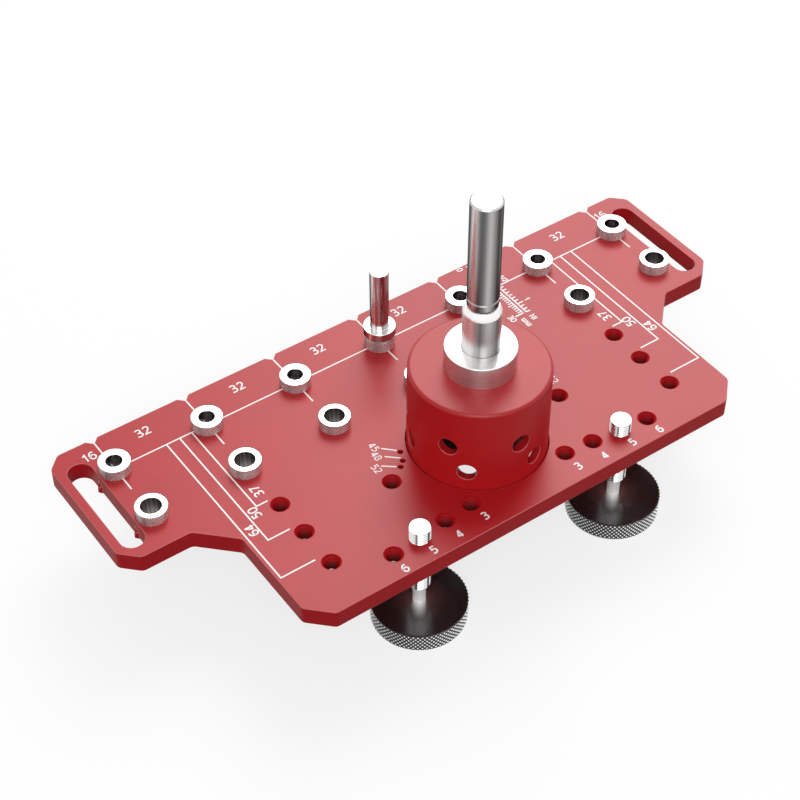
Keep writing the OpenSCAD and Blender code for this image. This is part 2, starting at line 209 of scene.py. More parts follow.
def shaded_red_bore(name):
    """The wall of a tapped hole: dyed red at its mouth, threaded, and darkened further down by painted shade.
    """
    # Painted shade darkens the wall below red_depth, to the dark tone at the deeper depth.
    red_depth, shade_depth, thread_share, least = 2.0 * MM, 6.6 * MM, 0.35, 0.75
    dark, dyed = (0.045, 0.012, 0.010, 1.0), (0.50, 0.006, 0.011, 1.0)
    wall = Recipe(name)
    parts = wall.node("ShaderNodeSeparateXYZ", Vector=wall.place)
    unshaded_near_mouth = wall.span(parts.outputs["Z"], DECK_TOP - shade_depth, DECK_TOP - red_depth)
    level = {"bands_direction": "Z"}
    turns = wall.node("ShaderNodeTexWave", level, Vector=wall.place, Scale=390.0, Distortion=0.4)
    cut = wall.calc("MULTIPLY", turns.outputs["Fac"], thread_share)
    tone = wall.calc("MULTIPLY", unshaded_near_mouth, wall.calc("ADD", cut, least))
    wall.link(
        Base_Color=wall.ramp(tone, [(0.0, dark), (0.9, dyed)]),
        Roughness=wall.greys(cut, [(0.0, 0.55), (thread_share, 0.45)]),
        Specular_IOR_Level=0.10)
    wall.bump(turns.outputs["Fac"], strength=0.3, distance=0.1 * MM)
    return wall.mat


def turned_metal(
        name, side, face, rough, line_scale, line_depth,
        axis=OWN_AXIS, reflection_bands=None, metallic=1.0, face_glow=None, rim=1.0):
    """Metal cut on a lathe: fine rings on its sides and flat faces, drawn streaks along its sides, and
    painted reflections as light and dark bands along them.

    side and face each give a dark and a light colour. The face's glow gives (radius, tone) stops for a face
    that is brighter towards its middle: a painted reflection. rim is the tone that a round side turns to
    where it is seen at a low angle: painted shade at its outline.
    """
    metal = Recipe(name)
    centred, radius, height = metal.about_axis(axis)
    ring_place = metal.node("ShaderNodeCombineXYZ", X=radius, Y=height)
    rings = metal.noise(ring_place.outputs[0], line_scale, roughness=0.65)
    drawn_out = metal.vector_calc("MULTIPLY", centred, (1.0, 1.0, 0.02))
    streaks = metal.noise(drawn_out, scale=520.0, detail=2.0, roughness=0.55)
    smear = metal.noise(metal.place, scale=240.0, detail=4.0)
    on_side = metal.ramp(streaks, [(0.36, side[0]), (0.62, side[1])])
    # Painted reflections: light and dark bands round the side.
    if reflection_bands:
        on_side = metal.times(on_side, metal.reflection_bands(centred, reflection_bands))
    on_face = metal.ramp(smear, [(0.3, face[0]), (0.7, face[1])])
    # A face brighter towards its middle: a painted reflection.
    if face_glow:
        reach = face_glow[-1][0]
        out = metal.span(radius, 0.0, reach)
        on_face = metal.times(on_face, metal.greys(out, [(r / reach, tone) for r, tone in face_glow]))
    flat = metal.span(metal.calc("ABSOLUTE", metal.facing_up()), 0.2, 0.3)
    blend = metal.calc("MULTIPLY", rings, smear)
    metal.link(
        Base_Color=metal.mix(flat, on_side, on_face),
        Roughness=metal.greys(blend, [(0.1, rough[0]), (0.5, rough[1])]),
        Metallic=metallic,
        # A rim below 1 darkens the reflection where a round side is seen at a low angle: painted shade at the
        # outline.
        Specular_Tint=grey(rim))
    metal.bump(rings, strength=0.25, distance=line_depth)
    return metal.mat


def cut_metal(name, radius, depth, root_shade, rise, reflection_bands, rough=(0.24, 0.38), metallic=1.0):
    """A knurl or thread.

    Its grey is a dark painted shade in the roots up to the first share of the cut's height in rise, and
    bright from the second one up. Light and dark painted reflection bands lie over it.
    """
    bright, wear_share, least = 0.97, 0.3, 0.85
    metal = Recipe(name)
    centred, distance = metal.about_axis(OWN_AXIS)[:2]
    out = metal.span(distance, radius - depth, radius)
    wear = metal.noise(metal.place, scale=700.0)
    worn_share = metal.calc("ADD", metal.calc("MULTIPLY", wear, wear_share), least)
    tone = metal.calc("MULTIPLY", out, worn_share)
    # Painted shade in the roots, bright at the crests.
    colour = metal.greys(tone, [(rise[0], root_shade), (rise[1], bright)])
    metal.link(
        Base_Color=metal.times(colour, metal.reflection_bands(centred, reflection_bands)),
        Roughness=metal.greys(wear, [(0.3, rough[0]), (0.7, rough[1])]),
        Metallic=metallic)
    metal.bump(wear, strength=0.2, distance=0.01 * MM)
    return metal.mat


def shaded_bore_metal(name):
    """The inside of a bush: steel darkened by painted shade, with streaks along the bore."""
    dark, light = (0.10, 0.085, 0.085, 1.0), (0.34, 0.31, 0.30, 1.0)
    metal = Recipe(name)
    drawn_out = metal.vector_calc("MULTIPLY", metal.place, (1.0, 1.0, 0.05))
    streaks = metal.noise(drawn_out, scale=900.0, detail=2.0, roughness=0.5)
    metal.link(
        Base_Color=metal.ramp(streaks, [(0.36, dark), (0.64, light)]),
        Roughness=metal.greys(streaks, [(0.3, 0.22), (0.7, 0.36)]),
        Metallic=1.0)
    metal.bump(streaks, strength=0.2, distance=0.01 * MM)
    return metal.mat


def print_ink(name):
    """White pad printing, a little thinner here and there."""
    thinned = (0.93, 0.90, 0.90, 1.0)
    white = Recipe(name)
    thin = white.noise(white.place, scale=900.0)
    white.link(
        Base_Color=white.ramp(thin, [(0.25, thinned), (0.55, grey(0.98))]),
        Roughness=white.greys(thin, [(0.3, 0.34), (0.7, 0.42)]))
    white.bump(thin, strength=0.1, distance=0.01 * MM)
    return white.mat


# Knurl and thread sizes, shared by the meshes and by the finishes that paint shade into their roots
BUSH_HEAD_R = (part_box("small_bush_1")[1].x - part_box("small_bush_1")[0].x) / 2
BUSH_CUT = 0.17 * MM
WHEEL_R = (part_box("left_stop_wheel")[1].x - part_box("left_stop_wheel")[0].x) / 2
WHEEL_CUT = 0.36 * MM
THREAD_R = (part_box("left_stop_screw")[1].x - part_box("left_stop_screw")[0].x) / 2
THREAD_CUT = 0.34 * MM
THREAD_PITCH, THREAD_STEP = 0.8 * MM, 0.1 * MM
PIN_COLLAR_R = (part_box("index_pin")[1].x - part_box("index_pin")[0].x) / 2

# The dye's dark and light tone on level faces and plate edges; a lighter copy on the cup's side, which is
# painted light; and a pink copy on broken edges, which is a painted highlight
RED = ((0.44, 0.0062, 0.0105, 1.0), (0.50, 0.0078, 0.0130, 1.0))
CUP_LIT_RED = ((0.53, 0.0100, 0.0135, 1.0), (0.59, 0.0125, 0.0160, 1.0))
EDGE_HIGHLIGHT_RED = ((0.60, 0.100, 0.110, 1.0), (0.66, 0.140, 0.150, 1.0))
TOP_ROUGH = (0.34, 0.42)
SIDE_ROUGH = (0.40, 0.50)

# Painted reflections on polished round sides: light and dark bands, as (degrees from VIEWER, tone)
SHANK_REFLECTION_BANDS = [
    (-180, 0.60), (-150, 0.20), (-120, 0.80), (-86, 0.12), (-74, 0.20), (-60, 0.34), (-46, 0.85),
    (-36, 0.85), (-27, 0.38), (-18, 0.16), (-8, 0.11), (2, 0.20), (10, 0.38), (17, 0.50), (25, 0.40),
    (33, 0.28), (42, 0.15), (52, 0.07), (62, 0.26), (76, 0.36), (86, 0.15), (115, 0.80), (150, 0.20),
    (180, 0.60)]
SLEEVE_REFLECTION_BANDS = [
    (-180, 0.70), (-150, 0.30), (-120, 0.90), (-84, 0.45), (-66, 0.90), (-30, 0.90), (-16, 0.50),
    (-5, 0.15), (4, 0.30), (15, 0.46), (24, 0.48), (36, 0.32), (50, 0.13), (62, 0.45), (80, 1.0),
    (115, 0.85), (150, 0.30), (180, 0.70)]
COLLAR_REFLECTION_BANDS = [
    (-180, 0.95), (-75, 0.90), (-55, 0.98), (-22, 0.80), (-8, 0.84), (20, 0.90), (40, 0.86), (62, 0.76),
    (80, 0.95), (180, 0.95)]
PIN_REFLECTION_BANDS = [
    (-180, 0.7), (-110, 0.7), (-88, 0.08), (-64, 0.09), (-54, 0.35), (-46, 0.6), (-36, 1.0), (-27, 1.0),
    (-17, 0.55), (-6, 0.6), (8, 0.55), (18, 0.5), (40, 0.55), (56, 0.6), (72, 0.7), (86, 0.25),
    (110, 0.7), (180, 0.7)]
BUSH_REFLECTION_BANDS = [
    (-180, 0.9), (-100, 0.9), (-75, 0.70), (-30, 0.90), (-16, 0.66), (5, 1.0), (60, 1.0), (180, 0.9)]
WHEEL_REFLECTION_BANDS = [(-180, 1.0), (-100, 0.7), (-60, 0.5), (-25, 0.65), (0, 0.9), (25, 1.0), (180, 1.0)]
SCREW_REFLECTION_BANDS = [
    (-180, 1.0), (-150, 0.3), (-120, 1.0), (-24, 0.95), (-17, 0.25), (-11, 0.25), (-4, 0.95), (46, 1.0),
    (50, 0.05), (62, 0.05), (68, 0.9), (115, 1.0), (150, 0.3), (180, 1.0)]

# Painted reflection on the wheel's face: a glow round its middle that fades towards the rim, as (radius,
# tone)
WHEEL_FACE_GLOW = [(0.0, 0.95), (3.0 * MM, 0.90), (5.0 * MM, 0.55), (9.0 * MM, 0.24), (15.0 * MM, 0.20)]

TURNED_LOOKS = {
    "bush_steel": dict(
        side=tones(0.60, 0.75), face=tones(0.90, 0.97), rough=(0.22, 0.34),
        line_scale=9000, line_depth=0.010 * MM),
    "polished_steel": dict(
        side=tones(0.74, 0.80), face=tones(0.88, 0.96), rough=(0.26, 0.31),
        line_scale=5000, line_depth=0.001 * MM, axis=GUIDE_AXIS, reflection_bands=COLLAR_REFLECTION_BANDS, metallic=0.85),
    "sleeve_steel": dict(
        side=tones(0.88, 0.98), face=tones(0.90, 0.98), rough=(0.30, 0.40),
        line_scale=5000, line_depth=0.006 * MM, axis=GUIDE_AXIS, reflection_bands=SLEEVE_REFLECTION_BANDS),
    "shank_steel": dict(
        side=tones(0.85, 1.00), face=tones(0.58, 0.70), rough=(0.20, 0.28),
        line_scale=5000, line_depth=0.004 * MM, axis=GUIDE_AXIS, reflection_bands=SHANK_REFLECTION_BANDS, rim=0.25),
    "pin_steel": dict(
        side=tones(0.90, 1.00), face=tones(0.90, 0.98), rough=(0.20, 0.26),
        line_scale=5000, line_depth=0.001 * MM, reflection_bands=PIN_REFLECTION_BANDS, rim=0.35),
    "tool_steel": dict(
        side=tones(0.12, 0.22), face=tones(0.18, 0.28), rough=(0.25, 0.40),
        line_scale=6000, line_depth=0.010 * MM, axis=GUIDE_AXIS),
    "carbide": dict(
        side=tones(0.12, 0.20), face=tones(0.14, 0.22), rough=(0.28, 0.40),
        line_scale=3000, line_depth=0.006 * MM, axis=GUIDE_AXIS),
    "screw_steel": dict(
        side=tones(0.86, 0.97), face=tones(0.60, 0.72), rough=(0.20, 0.32),
        line_scale=6000, line_depth=0.006 * MM, reflection_bands=SCREW_REFLECTION_BANDS),
    # The neck is a white non-metal: its white is a painted reflection, standing in for light the steel would
    # mirror.
    "neck_painted_reflection": dict(
        side=tones(0.90, 0.98), face=tones(0.60, 0.72), rough=(0.36, 0.46),
        line_scale=6000, line_depth=0.006 * MM, metallic=0.0),
    "wheel_chrome": dict(
        side=tones(0.30, 0.40), face=tones(0.85, 0.95), rough=(0.20, 0.28),
        line_scale=5000, line_depth=0.006 * MM, metallic=0.95, face_glow=WHEEL_FACE_GLOW),
}
CUT_LOOKS = {
    "bush_knurl": dict(
        radius=BUSH_HEAD_R, depth=BUSH_CUT, root_shade=0.30, rise=(0.10, 0.40), reflection_bands=BUSH_REFLECTION_BANDS, metallic=0.75),
    "pin_knurl": dict(
        radius=PIN_COLLAR_R, depth=BUSH_CUT, root_shade=0.30, rise=(0.10, 0.40), reflection_bands=BUSH_REFLECTION_BANDS, metallic=0.75),
    "wheel_knurl": dict(
        radius=WHEEL_R, depth=WHEEL_CUT, root_shade=0.025, rise=(0.34, 0.55), reflection_bands=WHEEL_REFLECTION_BANDS),
    "screw_thread": dict(
        radius=THREAD_R, depth=THREAD_CUT, root_shade=0.25, rise=(0.05, 0.50), reflection_bands=SCREW_REFLECTION_BANDS,
        rough=(0.20, 0.30)),
}

finish = {
    "red_anodised": anodised_red("red_anodised", RED, TOP_ROUGH, sheen=0.50),
    # A pink copy of the dye for broken edges: a painted highlight.
    "red_edge_highlight": anodised_red("red_edge_highlight", EDGE_HIGHLIGHT_RED, TOP_ROUGH, sheen=0.50),
    "red_side": anodised_red("red_side", RED, SIDE_ROUGH, sheen=0.11),
    # A lighter copy of the dye for the cup's upright side: painted light.
    "cup_side_lit": anodised_red("cup_side_lit", CUP_LIT_RED, SIDE_ROUGH, sheen=0.20),
    "red_bore_shaded": shaded_red_bore("red_bore_shaded"),
    "bush_bore_shaded": shaded_bore_metal("bush_bore_shaded"),
    "white_print": print_ink("white_print"),
}
finish.update({name: turned_metal(name, **look) for name, look in TURNED_LOOKS.items()})
finish.update({name: cut_metal(name, **look) for name, look in CUT_LOOKS.items()})

# Nodes whose look isn't the one named by their slot
NODE_LOOKS = {"bit_shank": "shank_steel", "bearing_sleeve": "sleeve_steel"}


def paint(obj, *looks):
    """Gives the object one material for each named finish."""
    obj.data.materials.clear()
    for look in looks:
        obj.data.materials.append(finish[look])


# CAD nodes

EDGE_BREAK = {
    "base_plate": 0.22 * MM,
    "guide_cup": 0.20 * MM,
    "guide_collar": 0.10 * MM,
    "bearing_sleeve": 0.12 * MM,
    "bit_shank": 0.10 * MM,
    "cutter_head": 0.10 * MM,
}
CREASE = math.radians(28)
SAME_PLANE = math.radians(0.6)
SAME_POINT = 0.002 * MM

# Places of a dyed part's looks in its list of materials
RED_LEVEL, RED_EDGE_HIGHLIGHT, RED_UPRIGHT, RED_WALL = range(4)


def soften(obj, width):
    """Rounds the edges of a CAD node with modifiers alone, and shades its curved faces smooth."""
    weld = obj.modifiers.new("join", "WELD")
    weld.merge_threshold = SAME_POINT
    clean = obj.modifiers.new("clean", "DECIMATE")
    clean.decimate_type = "DISSOLVE"
    clean.angle_limit = SAME_PLANE
    bevel = obj.modifiers.new("edge_break", "BEVEL")
    bevel.width = width
    bevel.segments = 2
    bevel.limit_method = "ANGLE"
    bevel.angle_limit = CREASE
    bevel.use_clamp_overlap = False
    bevel.harden_normals = True
    if len(obj.data.materials) > 1:
        # Broken edges take the pink painted highlight.
        bevel.material = RED_EDGE_HIGHLIGHT
    shade = obj.modifiers.new("shade", "WEIGHTED_NORMAL")
    shade.keep_sharp = True
    for face in obj.data.polygons:
        face.use_smooth = True


def tapped_holes():
    """Centre and radius of every tapped hole, from the record's bolt patterns."""
    holes = []
    for mount in frame["record"]["mounts"]:
        if mount["kind"] == "bolt_pattern":
            x, y = mount["pos_m"][:2]
            reach = mount["dims"]["spacing_x_mm"] * MM / 2
            radius = mount["dims"]["hole_r_mm"] * MM
            holes += [(x + side * reach, y, radius) for side in (-1, 1)]
    return holes


HOLES = tapped_holes()


def red_face(face):
    """Which red look a face of a dyed part has: level, upright, or the wall of a tapped hole."""
    level_from, wall_slack = 0.3, 0.1 * MM
    if abs(face.normal.z) > level_from:
        return RED_LEVEL if face.normal.z > 0 else RED_UPRIGHT
    x, y = face.center.x, face.center.y
    in_hole = any(math.hypot(x - at_x, y - at_y) < radius + wall_slack for at_x, at_y, radius in HOLES)
    return RED_WALL if in_hole else RED_UPRIGHT


def dress_nodes():
    """Paints every CAD node, and rounds the edges of those in EDGE_BREAK."""
    for entry in frame["record"]["subparts"]:
        name = entry["node"]
        node = frame["nodes"][name]
        look = NODE_LOOKS.get(name, entry["material_slot"])
        if look == "red_anodised":
            # The cup's upright side takes a lighter copy of the dye, painted light.
            upright = "cup_side_lit" if name == "guide_cup" else "red_side"
            paint(node, "red_anodised", "red_edge_highlight", upright, "red_bore_shaded")
            for face in node.data.polygons:
                face.material_index = red_face(face)
        else:
            paint(node, look)
        if name in EDGE_BREAK:
            soften(node, EDGE_BREAK[name])


# Turned, knurled and threaded pieces

# Looks of the faces between two rings. The first three are places in a piece's list of materials. A knurl's
# squares are split into pyramids that share the cut metal of threads.
PLAIN, CUT, BORE, KNURL = range(4)


def add_mesh(name, points, faces, looks, at, mats, body):
    """Makes an object whose mesh is drawn round its own axis at the place given."""
    mesh = bpy.data.meshes.new(name)
    mesh.from_pydata(points, [], faces)
    obj = bpy.data.objects.new(name, mesh)
    bpy.context.scene.collection.objects.link(obj)
    obj.location = at
    paint(obj, *mats)
    for face, look in zip(mesh.polygons, looks):
        face.material_index = look
        face.use_smooth = True
    mesh.validate()
    mesh.set_sharp_from_angle(angle=CREASE)
    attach(obj, body)
    return obj


def turned_mesh(rings, closed):
    """Points, faces and looks of a turned body.

    A ring is its points and the look of the faces between it and the next ring; closed joins the last ring
    to the first, and otherwise both ends are capped. A knurl's squares are cut along their valleys, so that
    every crest becomes a small pyramid.
    """
    count = len(rings[0][0])
    points = [p for ring in rings for p in ring[0]]
    faces, looks = [], []
    for j in range(len(rings) if closed else len(rings) - 1):
        low = j * count
        high = (j + 1) % len(rings) * count
        look = rings[j][1]
        for i in range(count):
            k = (i + 1) % count
            a, b, c, d = low + i, low + k, high + k, high + i
            if look == KNURL:
                faces += [(a, b, c), (a, c, d)] if (i + j) % 2 == 0 else [(a, b, d), (b, c, d)]
                looks += [CUT, CUT]
            else:
                faces.append((a, b, c, d))
                looks.append(look)
    if not closed:
        faces.append(tuple(reversed(range(count))))
        faces.append(tuple((len(rings) - 1) * count + i for i in range(count)))
        looks += [PLAIN, PLAIN]
    return points, faces, looks


def ring_point(radius, i, count, z):
    return (radius * math.cos(TAU * i / count), radius * math.sin(TAU * i / count), z)


def plain_ring(radius, z, count, look=PLAIN):
    return [ring_point(radius, i, count, z) for i in range(count)], look


def knurl_rings(first, radius, depth, low, high, rows, count):
    """Rings of a diamond knurl: crests and valleys alternate like the squares of a chess board.

    first is the number of rings before these. It keeps the valleys where turned_mesh cuts the squares.
    """
    rings = []
    for j in range(rows + 1):
        z = low + (high - low) * j / rows
        radii = [radius if (i + j + first) % 2 else radius - depth for i in range(count)]
        ring = [ring_point(r, i, count, z) for i, r in enumerate(radii)]
        rings.append((ring, KNURL if j < rows else PLAIN))
    return rings


def thread_ring(z, radius, depth, count):
    """One ring of points through a right-handed screw thread with flattened crests and roots."""
    crest_share, flank_share = 0.15, 0.70
    ring = []
    for i in range(count):
        phase = (z / THREAD_PITCH - i / count) % 1.0
        wave = abs(2 * phase - 1)
        cut = min(1.0, max(0.0, (wave - crest_share) / flank_share))
        ring.append(ring_point(radius - depth * cut, i, count, z))
    return ring, CUT


def thread_heights(low, high):
    """Heights of the rings that make up a thread, eight to a turn."""
    n = round((high - low) / THREAD_STEP)
    return [low + (high - low) * k / n for k in range(n + 1)]


def knurled_bush(node, bore):
    """A drill bush: knurled head with a crisp top edge, body in the plate, and a dark bore."""
    low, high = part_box(node)
    axis = middle(node)
    top, foot = high.z - DECK_TOP, low.z - DECK_TOP
    body_r, edge, hair, knurl_foot = 4.2 * MM, 0.10 * MM, 0.02 * MM, 0.12 * MM
    count, rows = 76, 6
    rings = [
        plain_ring(bore, foot, count),
        plain_ring(body_r - edge, foot, count),
        plain_ring(body_r, foot + edge, count),
        plain_ring(body_r, 0.0, count),
        plain_ring(BUSH_HEAD_R - BUSH_CUT - edge, 0.0, count, CUT),
    ]
    rings += knurl_rings(len(rings), BUSH_HEAD_R, BUSH_CUT, knurl_foot, top - edge, rows, count)
    rings += [
        plain_ring(BUSH_HEAD_R - edge, top - hair, count),
        plain_ring(BUSH_HEAD_R - 2 * edge, top, count),
        plain_ring(bore + edge, top, count),
        plain_ring(bore + hair, top - edge, count, BORE),
        plain_ring(bore, top - 3 * edge, count, BORE),
    ]
    points, faces, looks = turned_mesh(rings, True)
    mats = ("bush_steel", "bush_knurl", "bush_bore_shaded")
    place = (axis.x, axis.y, DECK_TOP)
    bush = add_mesh("knurled_" + node, points, faces, looks, place, mats, "plate")
    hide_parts(node)


def index_pin():
    """The index pin: a polished grip over a collar, whose lower band is knurled like the bush below it."""
    low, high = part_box("index_pin")
    axis = middle("index_pin")
    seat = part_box("small_bush_4")[1].z - DECK_TOP
    foot, top = low.z - DECK_TOP, high.z - DECK_TOP
    low_r, grip_r, collar_h, band = 2.47 * MM, 3.0 * MM, 4.0 * MM, 1.05 * MM
    knurl_r, knurl_foot = PIN_COLLAR_R - 0.03 * MM, seat + 0.02 * MM
    edge, count, rows = 0.10 * MM, 88, 3
    rings = [
        plain_ring(low_r - 2 * edge, foot, count),
        plain_ring(low_r, foot + 2 * edge, count),
        plain_ring(low_r, seat, count),
        plain_ring(PIN_COLLAR_R - BUSH_CUT, seat, count, CUT),
    ]
    rings += knurl_rings(len(rings), knurl_r, BUSH_CUT, knurl_foot, seat + band, rows, count)
    rings += [
        plain_ring(PIN_COLLAR_R - 0.5 * edge, seat + band + 0.5 * edge, count),
        plain_ring(PIN_COLLAR_R, seat + band + edge, count),
        plain_ring(PIN_COLLAR_R, seat + collar_h - edge, count),
        plain_ring(PIN_COLLAR_R - edge, seat + collar_h, count),
        plain_ring(grip_r + edge, seat + collar_h, count),
        plain_ring(grip_r, seat + collar_h + edge, count),
        plain_ring(grip_r, top - 2 * edge, count),
        plain_ring(grip_r - 0.4 * edge, top - 0.6 * edge, count),
        plain_ring(grip_r - 2 * edge, top, count),
    ]
    points, faces, looks = turned_mesh(rings, False)
    mats = ("pin_steel", "pin_knurl")
    place = (axis.x, axis.y, DECK_TOP)
    pin = add_mesh("turned_index_pin", points, faces, looks, place, mats, "index_pin_body")
    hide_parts("index_pin")


def knurled_wheel(side):
    """The foot of a stop screw: flat chrome wheel with a coarse diamond knurl over its whole rim."""
    node = side + "_stop_wheel"
    low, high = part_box(node)
    axis = middle(node)
    thick = high.z - low.z
    edge, centre_r, neck_r, bed = 0.06 * MM, 0.4 * MM, 2.0 * MM, 1.5 * MM
    count, rows = 136, 8
    rings = [
        plain_ring(centre_r, 0.0, count),
        plain_ring(WHEEL_R - WHEEL_CUT, 0.0, count, CUT),
    ]
    rings += knurl_rings(len(rings), WHEEL_R, WHEEL_CUT, edge, thick - edge, rows, count)
    rings += [
        plain_ring(WHEEL_R - edge - WHEEL_CUT, thick, count),
        plain_ring(WHEEL_R - 8 * edge - WHEEL_CUT, thick, count),
        plain_ring(neck_r, thick, count),
        plain_ring(neck_r, bed, count),
    ]
    points, faces, looks = turned_mesh(rings, False)
    mats = ("wheel_chrome", "wheel_knurl")
    place = (axis.x, axis.y, low.z)
    wheel = add_mesh("knurled_" + node, points, faces, looks, place, mats, side + "_stop")
    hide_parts(node)


def stop_screw(side):
    """A stop screw: threaded above and below the plate, plain in its hole, with a thin neck to the wheel."""
    node = side + "_stop_screw"
    low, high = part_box(node)
    axis = middle(node)
    top, foot = high.z - DECK_TOP, low.z - DECK_TOP
    plate_low = DECK_LOW - DECK_TOP
    core, neck, edge, gap = 2.65 * MM, 2.0 * MM, 0.25 * MM, 0.05 * MM
    thread_end = plate_low - 13.85 * MM
    crown = ((0.06 * MM, 0.14 * MM), (0.20 * MM, 0.0))
    count = 64
    below = thread_heights(thread_end + edge, plate_low - gap)
    above = thread_heights(gap, top - edge)
    rings = [
        plain_ring(neck, foot, count, BORE),
        plain_ring(neck, thread_end, count),
        plain_ring(THREAD_R - 2 * edge, thread_end, count, CUT),
    ]
    rings += [thread_ring(z, THREAD_R, THREAD_CUT, count) for z in below]
    rings += [plain_ring(core, plate_low, count), plain_ring(core, 0.0, count, CUT)]
    rings += [thread_ring(z, THREAD_R, THREAD_CUT, count) for z in above]
    rings += [plain_ring(THREAD_R - inset, top - drop, count) for inset, drop in crown]
    points, faces, looks = turned_mesh(rings, False)
    mats = ("screw_steel", "screw_thread", "neck_painted_reflection")
    place = (axis.x, axis.y, DECK_TOP)
    screw = add_mesh("threaded_" + node, points, faces, looks, place, mats, side + "_stop")
    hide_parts(node)


def tapped_threads():
    """The thread and the broken rim of every tapped hole that has no screw in it, open at both ends."""
    depth, gap, count = 0.42 * MM, 0.02 * MM, 40
    heights = thread_heights(DECK_LOW + 0.1 * MM, DECK_TOP - 0.5 * MM)
    rim = [(-0.03 * MM, -0.30 * MM), (0.04 * MM, -0.04 * MM), (0.26 * MM, 0.01 * MM)]
    screws = [middle(side + "_stop_screw") for side in ("left", "right")]
    points, faces = [], []
    for x, y, radius in HOLES:
        if any(math.hypot(x - screw.x, y - screw.y) < radius for screw in screws):
            continue
        rings = [thread_ring(z, radius - gap, depth, count)[0] for z in heights]
        rings += [plain_ring(radius + out, DECK_TOP + lift, count)[0] for out, lift in rim]
        base = len(points)
        points += [(x + u, y + v, w) for ring in rings for u, v, w in ring]
        for k in range(len(rings) - 1):
            for i in range(count):
                a, b = base + k * count + i, base + k * count + (i + 1) % count
                faces.append((a, a + count, b + count, b))
    looks = [PLAIN] * len(faces)
    add_mesh("tapped_threads", points, faces, looks, (0.0, 0.0, 0.0), ("red_bore_shaded",), "plate")


# Printed marks

INK_LIFT, INK_STEP = 0.02 * MM, 0.001 * MM
LINE_W = 0.50
STROKE_W = 0.50

# Strokes of each figure, as points in a box 0.62 wide and 1 high. Short sides of a stroke are rounded,
# but not in the straight figures.
FIGURE_W = 0.62
FIGURES = {
    "0": [[(0.31, 1.0), (0.12, 0.93), (0.02, 0.75), (0.0, 0.5), (0.02, 0.25), (0.12, 0.07), (0.31, 0.0),
           (0.50, 0.07), (0.60, 0.25), (0.62, 0.5), (0.60, 0.75), (0.50, 0.93), (0.31, 1.0)]],
    "1": [[(0.08, 0.78), (0.36, 1.0), (0.36, 0.0)]],
    "2": [[(0.02, 0.86), (0.14, 0.96), (0.30, 1.0), (0.48, 0.95), (0.57, 0.80), (0.54, 0.62), (0.40, 0.42),
           (0.02, 0.0), (0.62, 0.0)]],
    "3": [[(0.03, 0.93), (0.20, 1.0), (0.38, 0.99), (0.52, 0.90), (0.55, 0.74), (0.47, 0.60), (0.32, 0.53),
           (0.18, 0.53)],
          [(0.32, 0.53), (0.50, 0.46), (0.60, 0.30), (0.57, 0.14), (0.42, 0.02), (0.22, 0.0), (0.01, 0.07)]],
    "4": [[(0.0, 0.25), (0.66, 0.25)], [(0.04, 0.28), (0.42, 1.0)], [(0.46, 1.04), (0.46, 0.0)]],
    "5": [[(0.56, 1.0), (0.10, 1.0), (0.10, 0.58), (0.28, 0.62), (0.46, 0.58), (0.58, 0.45), (0.60, 0.30),
           (0.54, 0.13), (0.38, 0.02), (0.20, 0.0), (0.02, 0.06)]],
    "6": [[(0.55, 0.95), (0.38, 1.0), (0.20, 0.94), (0.07, 0.78), (0.01, 0.52), (0.04, 0.24), (0.14, 0.07),
           (0.32, 0.0), (0.50, 0.07), (0.60, 0.22), (0.60, 0.40), (0.50, 0.55), (0.33, 0.61), (0.16, 0.55),
           (0.04, 0.38)]],
    "7": [[(0.0, 1.0), (0.60, 1.0), (0.20, 0.0)]],
    "8": [[(0.31, 0.54), (0.13, 0.61), (0.05, 0.76), (0.12, 0.92), (0.31, 1.0), (0.50, 0.92), (0.57, 0.76),
           (0.49, 0.61), (0.31, 0.54), (0.10, 0.46), (0.01, 0.27), (0.10, 0.07), (0.31, 0.0), (0.52, 0.07),
           (0.61, 0.27), (0.52, 0.46), (0.31, 0.54)]],
    "/": [[(0.0, -0.05), (0.42, 1.05)]],
    "I": [[(0.10, 0.0), (0.10, 1.0)]],
    "N": [[(0.0, 0.0), (0.0, 1.0), (0.58, 0.0), (0.58, 1.0)]],
    "m": [[(0.0, 0.0), (0.0, 1.0)],
          [(0.0, 0.75), (0.18, 0.97), (0.36, 1.0), (0.50, 0.88), (0.52, 0.65), (0.52, 0.0)],
          [(0.52, 0.75), (0.70, 0.97), (0.88, 1.0), (1.02, 0.88), (1.04, 0.65), (1.04, 0.0)]],
}
WIDE_FIGURES = {"m": 1.04}
STRAIGHT_FIGURES = "147IN/"

# Steps from the start of a figure to the start of the next
ADVANCE = {"1": 0.74, "I": 0.46, "m": 1.45, "/": 0.62}
PLAIN_ADVANCE = 0.86


def rounded(path):
    """The path with a point added on a smooth curve in the middle of each short side."""
    short = 0.32
    out = []
    for i in range(len(path) - 1):
        p0 = Vector(path[max(0, i - 1)])
        p1, p2 = Vector(path[i]), Vector(path[i + 1])
        p3 = Vector(path[min(len(path) - 1, i + 2)])
        out.append(tuple(p1))
        if (p2 - p1).length < short:
            out.append(tuple((9 * (p1 + p2) - p0 - p3) / 16))
    out.append(path[-1])
    return out


